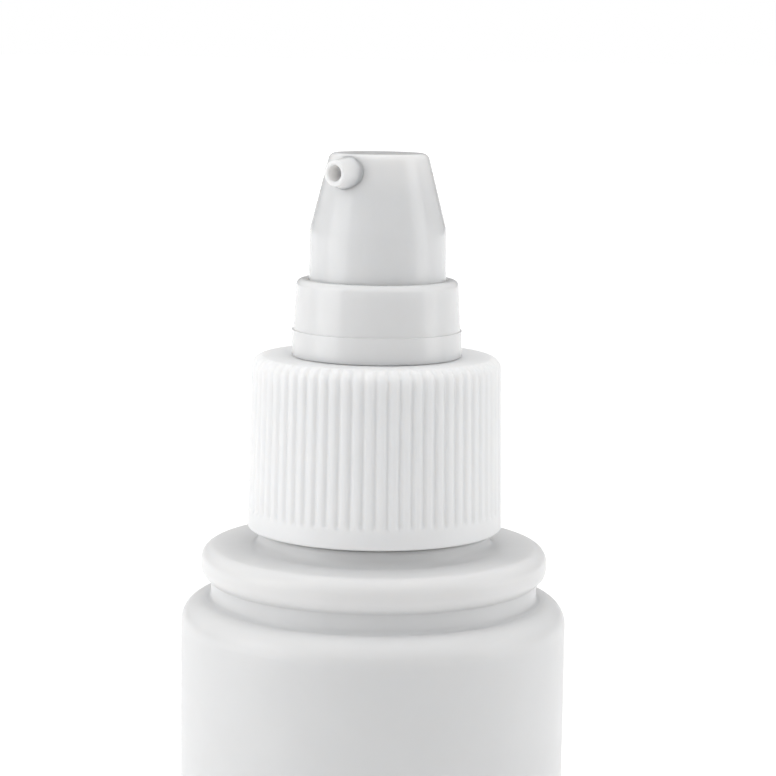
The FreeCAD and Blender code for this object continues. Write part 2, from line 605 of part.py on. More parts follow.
def make_actuator():
    """The button with its channel and the pocket for the nozzle."""
    rise = rod_z(CHANNEL_RADIUS, STEM_SEAT_Z - CUT_MARGIN, NOZZLE_Z)
    run = rod_y(CHANNEL_RADIUS, 0, NOZZLE_ROOT_REACH, NOZZLE_Z)
    pocket = rod_y(NOZZLE_ROOT_RADIUS, NOZZLE_ROOT_REACH, NOZZLE_TIP_REACH, NOZZLE_Z)
    return make_button().cut(rise).cut(run).cut(pocket)


def make_nozzle():
    """Round spout: a shank pressed into the actuator and a slightly tapered, blended outer part."""
    surface_reach = math.sqrt(ACTUATOR_TOP_RADIUS ** 2 - NOZZLE_BASE_RADIUS ** 2)
    base_reach = surface_reach - NOZZLE_BASE_SINK
    spout = turned([
        (0, base_reach),
        (NOZZLE_BASE_RADIUS, base_reach),
        (NOZZLE_TIP_RADIUS, NOZZLE_TIP_REACH, NOZZLE_TIP_ROUND),
        (0, NOZZLE_TIP_REACH),
    ])
    bore = turned([
        (0, 0),
        (NOZZLE_BORE_RADIUS, 0),
        (NOZZLE_BORE_RADIUS, NOZZLE_TIP_REACH - NOZZLE_MOUTH_CHAMFER),
        (NOZZLE_BORE_RADIUS + NOZZLE_MOUTH_CHAMFER, NOZZLE_TIP_REACH),
        (0, NOZZLE_TIP_REACH),
    ])
    for shape in (spout, bore):
        shape.rotate(ORIGIN, V(1, 0, 0), 90)
        shape.translate(V(0, 0, NOZZLE_Z))
    shank_end = NOZZLE_TIP_REACH - NOZZLE_TIP_ROUND - CUT_MARGIN
    shank = rod_y(NOZZLE_ROOT_RADIUS, NOZZLE_ROOT_REACH, shank_end, NOZZLE_Z)
    return spout.cut(make_button()).fuse(shank).cut(bore)


# ---------------------------------------------------------------- build
os.makedirs("parts", exist_ok=True)
housing, tube_top_z = make_housing()
save(make_bottle(), "bottle")
save(make_closure(), "closure")
save(make_collar(), "collar")
save(housing, "pump_housing")
save(make_gasket(), "neck_gasket")
save(make_retainer(), "stem_retainer")
save(make_cage(), "ball_cage")
save(make_dip_tube(tube_top_z), "dip_tube")
save(make_spring(), "return_spring")
save(make_ball(), "inlet_ball")
save(make_piston(), "piston")
save(make_rod(), "valve_rod")
save(make_stem(), "stem")
save(make_actuator(), "actuator")
save(make_nozzle(), "nozzle")
print("closure top %.3f  land %.3f  stroke %.2f" % (CLOSURE_TOP_Z, LAND_Z, STROKE))
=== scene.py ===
import math

import bmesh
import bpy
import numpy as np
from mathutils import Matrix, Vector


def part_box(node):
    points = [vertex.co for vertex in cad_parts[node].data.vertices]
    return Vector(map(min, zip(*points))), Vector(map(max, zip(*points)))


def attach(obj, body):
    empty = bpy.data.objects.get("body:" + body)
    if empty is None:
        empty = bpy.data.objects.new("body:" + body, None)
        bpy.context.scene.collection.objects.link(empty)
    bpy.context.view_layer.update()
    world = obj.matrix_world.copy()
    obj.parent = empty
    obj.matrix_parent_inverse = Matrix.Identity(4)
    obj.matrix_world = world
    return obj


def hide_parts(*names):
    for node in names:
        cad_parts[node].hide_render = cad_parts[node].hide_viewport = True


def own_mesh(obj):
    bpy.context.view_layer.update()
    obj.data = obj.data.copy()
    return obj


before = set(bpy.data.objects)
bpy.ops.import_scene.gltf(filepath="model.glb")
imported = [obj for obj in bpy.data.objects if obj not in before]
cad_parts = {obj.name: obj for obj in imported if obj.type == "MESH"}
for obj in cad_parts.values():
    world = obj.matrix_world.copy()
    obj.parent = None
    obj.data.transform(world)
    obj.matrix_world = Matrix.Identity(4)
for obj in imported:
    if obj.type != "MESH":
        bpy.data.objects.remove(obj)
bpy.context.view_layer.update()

MM = 0.001
TURN = 2.0 * math.pi
QUARTER_TURN = math.pi / 2.0
ON_AXIS = 1e-6                      # radius in mm under which a point counts as on the axis
TINY = 1e-9                         # least length that a vector is divided by

# ------------------------------------------------------------------ places read from the frame, in mm
LAND_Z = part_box("bottle")[1].z / MM
BODY_R = min(-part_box("bottle")[0].x, -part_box("bottle")[0].y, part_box("bottle")[1].x,
             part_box("bottle")[1].y) / MM
CLOSURE_FOOT_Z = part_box("closure")[0].z / MM
CLOSURE_TOP_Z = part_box("closure")[1].z / MM
CLOSURE_FOOT_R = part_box("closure")[1].x / MM
COLLAR_LOW_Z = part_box("collar")[0].z / MM
COLLAR_TOP_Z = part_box("collar")[1].z / MM
COLLAR_FOOT_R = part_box("collar")[1].x / MM
SKIRT_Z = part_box("actuator")[0].z / MM
BUTTON_TOP_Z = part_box("actuator")[1].z / MM
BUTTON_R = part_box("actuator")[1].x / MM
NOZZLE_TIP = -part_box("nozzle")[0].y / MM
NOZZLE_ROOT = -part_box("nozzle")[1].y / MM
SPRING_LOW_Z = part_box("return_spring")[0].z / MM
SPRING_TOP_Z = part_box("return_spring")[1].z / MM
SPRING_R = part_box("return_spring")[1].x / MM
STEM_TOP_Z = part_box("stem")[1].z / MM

# ------------------------------------------------------------------ sizes of the visible details, in mm
# bottle
BOTTLE_WALL = 1.1
BASE_ROUND = 2.2
BASE_INNER_ROUND = 1.65
STANDING_RING_WIDTH = 2.4
DISH_DEPTH = 1.4
DISH_ROUND = 1.0
RING_EDGE_ROUND = 0.4
SHOULDER_ROUND = 2.5
SHOULDER_INNER_ROUND = 1.95
GROOVE_R = 17.85
GROOVE_HEIGHT = 2.2
GROOVE_FOOT_ROUND = 0.5
GROOVE_TOP_ROUND = 0.3
BEAD_R = 18.9
BEAD_SLOPE_HEIGHT = 0.7
BEAD_ROUND = 1.5
BEAD_TOP_RISE = 5.9                 # shoulder to bead top
NECK_BASE_STEP = 1.9
NECK_BASE_HEIGHT = 1.7
NECK_BASE_BLEND = 0.9
NECK_BASE_ROUND = 0.4
NECK_FOOT_ROUND = 0.3
NECK_HEIGHT = 17.0                  # bead top to land
NECK_R = 10.8
NECK_WALL = 1.5
LAND_ROUND = 0.4
MOUTH_ROUND = 0.2
BOTTLE_INNER_ROUND = 0.6
BEAD_TOP_Z = LAND_Z - NECK_HEIGHT
SHOULDER_Z = BEAD_TOP_Z - BEAD_TOP_RISE

# thread
THREAD_PITCH = 3.175
THREAD_TURNS = 1.5
THREAD_HEIGHT = 1.15
THREAD_ROOT_GAP = 0.35              # closure ridge to neck
THREAD_BELOW_LAND = 2.2
THREAD_FADE = 0.09                  # share of the ridge that each faded end takes
THREAD_TOP_Z = LAND_Z - THREAD_BELOW_LAND
THREAD_FIRST_Z = THREAD_TOP_Z - THREAD_PITCH * THREAD_TURNS
RIDGE_SINK = 0.15                   # ridge into its wall
RIDGE_FILLET = 0.08
RIDGE_CREST_DROP = 0.12
RIDGE_ROOT_HALF = 0.93              # half widths of the ridge, from its root to its crest
RIDGE_FOOT_HALF = 0.80
RIDGE_SHOULDER_HALF = 0.46
RIDGE_CREST_HALF = 0.32
RIDGE_END_HEIGHT = 0.02             # shares of the full height and width that are left at the ends
RIDGE_END_WIDTH = 0.25

# closure
CLOSURE_BORE_R = 12.2
CLOSURE_DRAFT = 0.37
CLOSURE_TOP_WALL = 1.4
CLOSURE_EDGE_ROUND = 1.2
CLOSURE_FOOT_ROUND = 0.25
CLOSURE_MOUTH_ROUND = 0.2
CLOSURE_HOLE_R = 8.6
CLOSURE_HOLE_ROUND = 0.15
CLOSURE_INNER_ROUND = 0.3
RIB_COUNT = 66
RIB_DEPTH = 0.22
RIB_FOOT = 1.9                      # plain band under the ribs
RIB_FOOT_FADE = 0.65
RIB_TOP_START = 0.12                # ribs past the edge's rounding, on the closure's top
RIB_TOP_FADE = 0.7
RIB_GROOVE_HALF = 0.36              # half a groove's width, as a share of the rib spacing
RIB_FOOT_LEVELS = (-0.1, 0.1, 0.22, 0.34, 0.46, 0.6, 0.8)

# collar
COLLAR_BORE_R = 7.3
COLLAR_SHANK_R = 8.5
COLLAR_SEAT_GAP = 0.05
COLLAR_PLINTH_HEIGHT = 2.9
COLLAR_STEP = 0.13
COLLAR_DRAFT = 0.45
COLLAR_LIP_ROUND = 0.7
COLLAR_GUIDE_GAP = 0.15
COLLAR_GUIDE_ROUND = 0.2
COLLAR_LEDGE_RISE = 0.3
COLLAR_EDGE_ROUND = 0.1
COLLAR_SEAT_ROUND = 0.02
COLLAR_FOOT_ROUND = 0.12
COLLAR_STEP_ROUND = 0.08
COLLAR_STEP_INNER_ROUND = 0.04

# finger button
TAPER_START_Z = CLOSURE_TOP_Z + 13.5
BUTTON_EDGE_R = 5.25
BUTTON_WALL = 1.0
BUTTON_CROWN = 3.7
BUTTON_BEND_ROUND = 5.0
BUTTON_INNER_BEND_ROUND = 1.5
BUTTON_EDGE_ROUND = 0.8
BUTTON_INNER_ROUND = 0.3
SKIRT_ROUND = 0.3
SKIRT_INNER_ROUND = 0.2
HUB_BORE_R = 2.53
HUB_R = 3.73
HUB_LENGTH = 5.0                    # hub below the start of the taper
HUB_BORE_ROUND = 0.1
STEM_END_GAP = 0.05

# spout
NOZZLE_DROP = 1.95                  # button top to nozzle axis
NOZZLE_Z = BUTTON_TOP_Z - NOZZLE_DROP
NOZZLE_POCKET_R = 1.3
NOZZLE_SHANK_R = 1.28
NOZZLE_BASE_R = 1.62
NOZZLE_TIP_R = 1.4
NOZZLE_BORE_R = 0.85
NOZZLE_BORE_DEPTH = 1.0
NOZZLE_BLEND = 0.4
NOZZLE_BLEND_CUT = 0.75             # share of the blend that is lost on the nozzle's upper side
NOZZLE_SHANK_DEPTH = 0.6
NOZZLE_BLEND_DEPTH = 0.25
NOZZLE_BLEND_SINK = 0.04
NOZZLE_TIP_BACK = 0.25
NOZZLE_TIP_ROUND = 0.2
NOZZLE_MOUTH_ROUND = 0.15
CUT_OVERLAP = 0.1

# return spring
WIRE_R = 0.3
ACTIVE_COILS = 5.0
CLOSED_COILS = 1.0                  # at each end
CLOSED_PITCH = 2.05 * WIRE_R

# ------------------------------------------------------------------ fineness of the meshes
BOTTLE_SEGMENTS = 192
COLLAR_SEGMENTS = 160
BUTTON_SEGMENTS = 176
SEGMENTS_PER_RIB = 12
HOLE_SEGMENTS = 64
SPOUT_SEGMENTS = 72
SPOUT_BLEND_STEPS = 8
SPOUT_ARC_STEPS = 6
THREAD_STEPS_PER_TURN = 72
SPRING_STEPS_PER_TURN = 48
WIRE_SEGMENTS = 12
LEAST_ARC_STEPS = 3
SHARP_ANGLE = math.radians(40)
FLAT_WEIGHT = 60

# ------------------------------------------------------------------ camera of the main view
CAMERA_AZIMUTH = math.radians(36.5)
CAMERA_DISTANCE = 0.2562
CAMERA_Z = CLOSURE_TOP_Z * MM + 0.0322
CAMERA_PITCH = math.radians(-7.946)
CAMERA_YAW = math.radians(0.289)
CAMERA_ROLL = math.radians(0.79)
CAMERA_LENS = 110.35
CAMERA_SENSOR = 36.0
CAMERA_CLIP_START = 0.01

# ------------------------------------------------------------------ looks
WHITE = (1.0, 1.0, 1.0, 1.0)
NOISE_LOW = 0.3                     # range that a noise's values mostly fill
NOISE_HIGH = 0.7
HAZE_SHARE = 0.35                   # size of the gloss patches against the colour patches
WAVE_STRETCH = 0.45                 # waves along Z, where no flow length is given
PLASTIC_IOR = 1.49
SCATTER_MM = 2.5
SCATTER_TINT = (1.0, 0.95, 0.9)
METAL_DARK = 0.82                   # darkest tone of a metal against its colour
METAL_GLOSS_SPREAD = 0.3
FLOOR_HALF = 60.0                   # metres
FLOOR_NOISE_SCALE = 120.0
FLOOR_DARK = 0.60
FLOOR_LIGHT = 0.63
FLOOR_ROUGHNESS = 0.9
FLOOR_GLOW_FROM = -0.1              # metres towards the camera
FLOOR_GLOW_TO = 0.3
FLOOR_GLOW_BEHIND = 0.55
FLOOR_GLOW_AHEAD = 0.12
SURROUND_LOW = 0.039                # strength at the horizon and below it
SURROUND_HIGH = 1.404               # strength straight overhead
BACKDROP_STRENGTH = 1.0


# ------------------------------------------------------------------ mesh helpers
def rounded_outline(corners, arc_step=11.0, support=0.04):
    """Outline of (radius, height[, rounding]) corners in mm, with arcs and close support points."""
    points = [np.array(c[:2], float) for c in corners]
    rounds = [c[2] if len(c) > 2 else 0.0 for c in corners]
    outline = []
    for i, corner in enumerate(points):
        to_before = points[i - 1] - corner
        to_after = points[(i + 1) % len(points)] - corner
        to_before = to_before / np.linalg.norm(to_before)
        to_after = to_after / np.linalg.norm(to_after)
        if rounds[i] <= 0:
            if corner[0] > ON_AXIS:
                outline.append(corner + to_before * support)
            outline.append(corner)
            if corner[0] > ON_AXIS:
                outline.append(corner + to_after * support)
            continue
        half = math.acos(float(np.clip(np.dot(to_before, to_after), -1, 1))) / 2.0
        reach = rounds[i] / math.tan(half)
        bisector = to_before + to_after
        centre = corner + bisector / np.linalg.norm(bisector) * (rounds[i] / math.sin(half))
        start = corner + to_before * reach - centre
        end = corner + to_after * reach - centre
        sweep = math.acos(float(np.clip(np.dot(start, end) / rounds[i] ** 2, -1, 1)))
        steps = max(LEAST_ARC_STEPS, int(math.ceil(math.degrees(sweep) / arc_step)))
        outline.append(centre + start + to_before * support)
        for k in range(steps + 1):
            share = k / steps
            point = start * math.sin((1 - share) * sweep) + end * math.sin(share * sweep)
            outline.append(centre + point / math.sin(sweep))
        outline.append(centre + end + to_after * support)
    return np.array(outline)


def new_object(name, vertices, faces):
    """Mesh object from vertices in mm, with smooth shading."""
    mesh = bpy.data.meshes.new(name)
    mesh.from_pydata((np.asarray(vertices, float) * MM).tolist(), [], faces)
    mesh.validate()
    mesh.shade_smooth()
    piece = bpy.data.objects.new(name, mesh)
    bpy.context.scene.collection.objects.link(piece)
    return piece


def keep_flats(piece):
    """Weighted normals, so that flats stay flat beside their rounded edges."""
    piece.data.set_sharp_from_angle(angle=SHARP_ANGLE)
    modifier = piece.modifiers.new("flat_normals", "WEIGHTED_NORMAL")
    modifier.keep_sharp = True
    modifier.weight = FLAT_WEIGHT
    return piece


def fix_normals(piece):
    """Turn every face outwards."""
    work = bmesh.new()
    work.from_mesh(piece.data)
    bmesh.ops.recalc_face_normals(work, faces=work.faces)
    work.to_mesh(piece.data)
    work.free()
    piece.data.update()


def outline_normals(outline):
    """Unit normals of a closed outline, at its points."""
    ahead = np.roll(outline, -1, axis=0) - outline
    behind = outline - np.roll(outline, 1, axis=0)
    tangent = ahead / np.maximum(np.linalg.norm(ahead, axis=1, keepdims=True), TINY)
    tangent += behind / np.maximum(np.linalg.norm(behind, axis=1, keepdims=True), TINY)
    tangent /= np.maximum(np.linalg.norm(tangent, axis=1, keepdims=True), TINY)
    return np.stack([tangent[:, 1], -tangent[:, 0]], axis=1)


def lathe(name, outline, segments, shift=None):
    """Closed solid of revolution about Z; shift(point index, angle) moves along the outline's normal."""
    count = len(outline)
    normal = outline_normals(outline)
    vertices = []
    index = []
    for i in range(count):
        radius, height = outline[i]
        if radius < ON_AXIS:
            index.append([len(vertices)] * segments)
            vertices.append((0.0, 0.0, height))
            continue
        ring = []
        for k in range(segments):
            angle = TURN * k / segments
            move = shift(i, angle) if shift else 0.0
            r = radius + normal[i, 0] * move
            ring.append(len(vertices))
            vertices.append((r * math.cos(angle), r * math.sin(angle), height + normal[i, 1] * move))
        index.append(ring)
    faces = []
    for i in range(count):
        low = index[i]
        high = index[(i + 1) % count]
        for k in range(segments):
            n = (k + 1) % segments
            face = [low[k], low[n], high[n], high[k]]
            face = [v for j, v in enumerate(face) if v != face[j - 1]]
            if len(face) > 2:
                faces.append(face)
    return new_object(name, vertices, faces)


def smooth_step(value):
    """0 below 0, 1 above 1, and an S curve between."""
    t = min(max(value, 0.0), 1.0)
    return t * t * (3.0 - 2.0 * t)


def grid_faces(rows, columns, closed_rows=False):
    """Quads of a rows by columns grid whose columns close on themselves."""
    faces = []
    for i in range(rows if closed_rows else rows - 1):
        for k in range(columns):
            n = (k + 1) % columns
            j = (i + 1) % rows
            faces.append([i * columns + k, i * columns + n, j * columns + n, j * columns + k])
    return faces


def swept_tube(name, vertices, rows, columns):
    """Solid swept through rows of columns vertices each, capped at both ends."""
    faces = grid_faces(rows, columns)
    faces.append(list(range(columns)))
    faces.append(list(range((rows - 1) * columns, rows * columns))[::-1])
    piece = new_object(name, vertices, faces)
    fix_normals(piece)
    return piece


def thread_ridge(name, wall_r, crest_r, first_z):
    """Helical ridge on a wall, faded into it at both ends."""
    steps = int(THREAD_STEPS_PER_TURN * THREAD_TURNS)
    outwards = 1.0 if crest_r > wall_r else -1.0
    vertices = []
    for i in range(steps + 1):
        share = i / steps
        angle = TURN * THREAD_TURNS * share
        height = first_z + THREAD_PITCH * THREAD_TURNS * share
        grown = smooth_step(min(share, 1.0 - share) / THREAD_FADE)
        crest = wall_r + (crest_r - wall_r) * (RIDGE_END_HEIGHT + (1.0 - RIDGE_END_HEIGHT) * grown)
        width = RIDGE_END_WIDTH + (1.0 - RIDGE_END_WIDTH) * grown
        flank = [(wall_r - outwards * RIDGE_SINK, RIDGE_ROOT_HALF),
                 (wall_r + outwards * RIDGE_FILLET, RIDGE_FOOT_HALF),
                 (crest - outwards * RIDGE_CREST_DROP, RIDGE_SHOULDER_HALF),
                 (crest, RIDGE_CREST_HALF)]
        section = [(radius, -offset) for radius, offset in flank] + flank[::-1]
        for radius, offset in section:
            vertices.append((radius * math.cos(angle), radius * math.sin(angle),
                             height + offset * width))
    return keep_flats(swept_tube(name, vertices, steps + 1, len(section)))


# ------------------------------------------------------------------ material helpers
def new_material(name):
    """New material with its tree, its shader and its texture coordinates."""
    material = bpy.data.materials.new(name)
    material.use_nodes = True
    tree = material.node_tree
    return material, tree, tree.nodes["Principled BSDF"], add(tree, "ShaderNodeTexCoord")


def add(tree, kind, **values):
    """New node with named properties and named input values."""
    node = tree.nodes.new(kind)
    for key, value in values.items():
        if hasattr(node, key):
            setattr(node, key, value)
        else:
            node.inputs[key.replace("_", " ")].default_value = value
    return node


def add_noise(tree, vector, size_mm, detail, roughness):
    """Noise with features of a size in mm."""
    noise = add(tree, "ShaderNodeTexNoise", Scale=1.0 / (size_mm * MM), Detail=detail,
                Roughness=roughness)
    tree.links.new(vector, noise.inputs["Vector"])
    return noise.outputs["Fac"]


def add_stretch(tree, vector, scale):
    """Coordinates scaled along each axis."""
    stretch = add(tree, "ShaderNodeMapping", Scale=scale)
    tree.links.new(vector, stretch.inputs["Vector"])
    return stretch.outputs["Vector"]


def add_ramp(tree, value, dark, light, low=0.0, high=1.0):
    """Colour that runs from dark to light as a value runs from low to high."""
    ramp = add(tree, "ShaderNodeValToRGB")
    ramp.color_ramp.elements[0].position = low
    ramp.color_ramp.elements[0].color = (*dark, 1.0)
    ramp.color_ramp.elements[1].position = high
    ramp.color_ramp.elements[1].color = (*light, 1.0)
    tree.links.new(value, ramp.inputs["Fac"])
    return ramp.outputs["Color"]


def add_range(tree, value, low, high, at_low, at_high):
    """Number that runs from at_low to at_high as a value runs from low to high."""
    span = add(tree, "ShaderNodeMapRange", From_Min=low, From_Max=high, To_Min=at_low, To_Max=at_high)
    tree.links.new(value, span.inputs["Value"])
    return span.outputs["Result"]


def add_bump(tree, value, height_mm, normal=None):
    """Bump of a height in mm, on top of another bump if one is given."""
    bump = add(tree, "ShaderNodeBump", Strength=1.0, Distance=height_mm * MM)
    tree.links.new(value, bump.inputs["Height"])
    if normal:
        tree.links.new(normal, bump.inputs["Normal"])
    return bump.outputs["Normal"]


def plastic(name, light, dark, roughness, roughness_span, patch_mm, grain_mm, grain_height_mm,
            wave_mm=None, wave_height_mm=0.0, subsurface=0.0, transmission=0.0, flow_mm=None):
    """Moulded plastic: slow colour patches, uneven gloss, fine mould grain and slow surface waves."""
    material, tree, shader, place = new_material(name)
    spot = place.outputs["Object"]
    patches = add_noise(tree, spot, patch_mm, detail=3.0, roughness=0.55)
    colour = add_ramp(tree, patches, dark, light, NOISE_LOW, NOISE_HIGH)
    haze = add_noise(tree, spot, patch_mm * HAZE_SHARE, detail=5.0, roughness=0.6)
    gloss = add_range(tree, haze, NOISE_LOW, NOISE_HIGH, roughness - roughness_span,
                      roughness + roughness_span)
    grain = add_noise(tree, spot, grain_mm, detail=3.0, roughness=0.6)
    normal = add_bump(tree, grain, grain_height_mm)
    if wave_mm:
        along = WAVE_STRETCH if flow_mm is None else wave_mm / flow_mm
        stretched = add_stretch(tree, spot, (1.0, 1.0, along))
        wave = add_noise(tree, stretched, wave_mm, detail=1.0, roughness=0.4)
        normal = add_bump(tree, wave, wave_height_mm, normal)
    tree.links.new(colour, shader.inputs["Base Color"])
    tree.links.new(gloss, shader.inputs["Roughness"])
    tree.links.new(normal, shader.inputs["Normal"])
    shader.inputs["IOR"].default_value = PLASTIC_IOR
    shader.inputs["Subsurface Weight"].default_value = subsurface
    shader.inputs["Subsurface Radius"].default_value = SCATTER_TINT
    shader.inputs["Subsurface Scale"].default_value = SCATTER_MM * MM
    shader.inputs["Transmission Weight"].default_value = transmission
    return material


def metal(name, colour, roughness, line_mm, line_height_mm, stretch):
    """Bare metal with fine drawn or lapped lines."""
    material, tree, shader, place = new_material(name)
    stretched = add_stretch(tree, place.outputs["Object"], stretch)
    lines = add_noise(tree, stretched, line_mm, detail=4.0, roughness=0.65)
    tone = add_ramp(tree, lines, [c * METAL_DARK for c in colour], colour)
    gloss = add_range(tree, lines, 0.0, 1.0, roughness * (1.0 - METAL_GLOSS_SPREAD),
                      roughness * (1.0 + METAL_GLOSS_SPREAD))
    normal = add_bump(tree, lines, line_height_mm)
    tree.links.new(tone, shader.inputs["Base Color"])
    tree.links.new(gloss, shader.inputs["Roughness"])
    tree.links.new(normal, shader.inputs["Normal"])
    shader.inputs["Metallic"].default_value = 1.0
    return material


def grey(value):
    """Neutral colour."""
    return (value, value, value)


BOTTLE_PLASTIC = plastic(
    "white_polyethylene", light=grey(0.75), dark=grey(0.73), roughness=0.34, roughness_span=0.05,
    patch_mm=9.0, grain_mm=0.22, grain_height_mm=0.0012, wave_mm=7.0, wave_height_mm=0.018,
    subsurface=0.85)
CLOSURE_PLASTIC = plastic(
    "satin_white_polypropylene", light=grey(0.87), dark=grey(0.855), roughness=0.46,
    roughness_span=0.05, patch_mm=5.0, grain_mm=0.13, grain_height_mm=0.0016, wave_mm=5.0,
    wave_height_mm=0.006, subsurface=0.85)
GLOSS_PLASTIC = plastic(
    "gloss_white_polypropylene", light=grey(0.78), dark=grey(0.765), roughness=0.2,
    roughness_span=0.035, patch_mm=6.0, grain_mm=0.3, grain_height_mm=0.0006, wave_mm=4.0,
    wave_height_mm=0.008, subsurface=0.85)
NATURAL_PLASTIC = plastic(
    "natural_polypropylene", light=(0.74, 0.74, 0.71), dark=(0.68, 0.68, 0.65), roughness=0.38,
    roughness_span=0.05, patch_mm=3.0, grain_mm=0.15, grain_height_mm=0.0012, subsurface=0.4,
    transmission=0.25)
TUBE_PLASTIC = plastic(
    "clear_tube_polyethylene", light=(0.8, 0.82, 0.8), dark=(0.74, 0.76, 0.74), roughness=0.3,
    roughness_span=0.05, patch_mm=6.0, grain_mm=0.2, grain_height_mm=0.001, wave_mm=2.0,
    wave_height_mm=0.01, flow_mm=40.0, transmission=0.6)
GASKET_FOAM = plastic(
    "foamed_liner", light=(0.8, 0.8, 0.78), dark=(0.62, 0.62, 0.6), roughness=0.75,
    roughness_span=0.08, patch_mm=0.5, grain_mm=0.12, grain_height_mm=0.02)
SPRING_STEEL = metal(
    "drawn_stainless_wire", colour=(0.62, 0.61, 0.59), roughness=0.28, line_mm=0.05,
    line_height_mm=0.0015, stretch=(1.0, 1.0, 6.0))
BALL_STEEL = metal(
    "polished_stainless_ball", colour=(0.7, 0.7, 0.7), roughness=0.1, line_mm=0.4,
    line_height_mm=0.0003, stretch=(1.0, 1.0, 1.0))


def finish_piece(piece, material, body, slot, *nodes):
    """Material, body and the CAD nodes that a piece stands for; the slot argument is not used."""
    piece.data.materials.clear()
    piece.data.materials.append(material)
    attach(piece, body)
    if nodes:
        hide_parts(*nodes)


# ------------------------------------------------------------------ bottle
def make_bottle():
    """Blown bottle: dished base, rounded shoulder, groove, bead and neck, outside and inside."""
    ring_edge = BODY_R - BASE_ROUND - STANDING_RING_WIDTH
    dish_edge = ring_edge - DISH_DEPTH
    groove_top = SHOULDER_Z + GROOVE_HEIGHT
    base_r = NECK_R + NECK_BASE_STEP
    base_top = BEAD_TOP_Z + NECK_BASE_HEIGHT
    bore = NECK_R - NECK_WALL
    inner = BODY_R - BOTTLE_WALL
    inner_groove_r = GROOVE_R - BOTTLE_WALL
    inner_shoulder = SHOULDER_Z - BOTTLE_WALL
    inner_bead_top = BEAD_TOP_Z - BOTTLE_WALL
    outline = rounded_outline([
        (0, DISH_DEPTH),
        (dish_edge, DISH_DEPTH, DISH_ROUND),
        (ring_edge, 0, RING_EDGE_ROUND),
        (BODY_R, 0, BASE_ROUND),
        (BODY_R, SHOULDER_Z, SHOULDER_ROUND),
        (GROOVE_R, SHOULDER_Z, GROOVE_FOOT_ROUND),
        (GROOVE_R, groove_top, GROOVE_TOP_ROUND),
        (BEAD_R, groove_top + BEAD_SLOPE_HEIGHT, BEAD_ROUND),
        (BEAD_R, BEAD_TOP_Z, BEAD_ROUND),
        (base_r, BEAD_TOP_Z, NECK_BASE_BLEND),
        (base_r, base_top, NECK_BASE_ROUND),
        (NECK_R, base_top, NECK_FOOT_ROUND),
        (NECK_R, LAND_Z, LAND_ROUND),
        (bore, LAND_Z, MOUTH_ROUND),
        (bore, inner_bead_top, BOTTLE_INNER_ROUND),
        (inner_groove_r, inner_bead_top, BOTTLE_INNER_ROUND),
        (inner_groove_r, inner_shoulder, BOTTLE_INNER_ROUND),
        (inner, inner_shoulder, SHOULDER_INNER_ROUND),
        (inner, BOTTLE_WALL, BASE_INNER_ROUND),
        (ring_edge, BOTTLE_WALL, BOTTLE_INNER_ROUND),
        (dish_edge, DISH_DEPTH + BOTTLE_WALL, DISH_ROUND),
        (0, DISH_DEPTH + BOTTLE_WALL),
    ])
    piece = keep_flats(lathe("bottle_shell", outline, BOTTLE_SEGMENTS))
    finish_piece(piece, BOTTLE_PLASTIC, "bottle", "bottle_plastic", "bottle")
    ridge = thread_ridge("neck_thread", NECK_R, NECK_R + THREAD_HEIGHT, THREAD_FIRST_Z)
    finish_piece(ridge, BOTTLE_PLASTIC, "bottle", "bottle_plastic")


# ------------------------------------------------------------------ closure
def closure_outline(top_r, rib_low):
    """Outline of the closure, with extra levels where the ribs begin."""
    under = CLOSURE_TOP_Z - CLOSURE_TOP_WALL
    height = CLOSURE_TOP_Z - CLOSURE_FOOT_Z
    outline = rounded_outline([
        (CLOSURE_BORE_R, CLOSURE_FOOT_Z, CLOSURE_MOUTH_ROUND),
        (CLOSURE_FOOT_R, CLOSURE_FOOT_Z, CLOSURE_FOOT_ROUND),
        (top_r, CLOSURE_TOP_Z, CLOSURE_EDGE_ROUND),
        (CLOSURE_HOLE_R, CLOSURE_TOP_Z, CLOSURE_HOLE_ROUND),
        (CLOSURE_HOLE_R, under, CLOSURE_HOLE_ROUND),
        (CLOSURE_BORE_R, under, CLOSURE_INNER_ROUND),
    ], arc_step=7.0)
    levels = []
    for rise in RIB_FOOT_LEVELS:
        z = rib_low + rise
        levels.append((CLOSURE_FOOT_R - CLOSURE_DRAFT * (z - CLOSURE_FOOT_Z) / height, z))
    middle_r = (CLOSURE_BORE_R + CLOSURE_FOOT_R) / 2.0
    foot_end = max(i for i, (radius, z) in enumerate(outline) if z < rib_low and radius > middle_r)
    return np.concatenate([outline[:foot_end + 1], np.array(levels), outline[foot_end + 1:]])


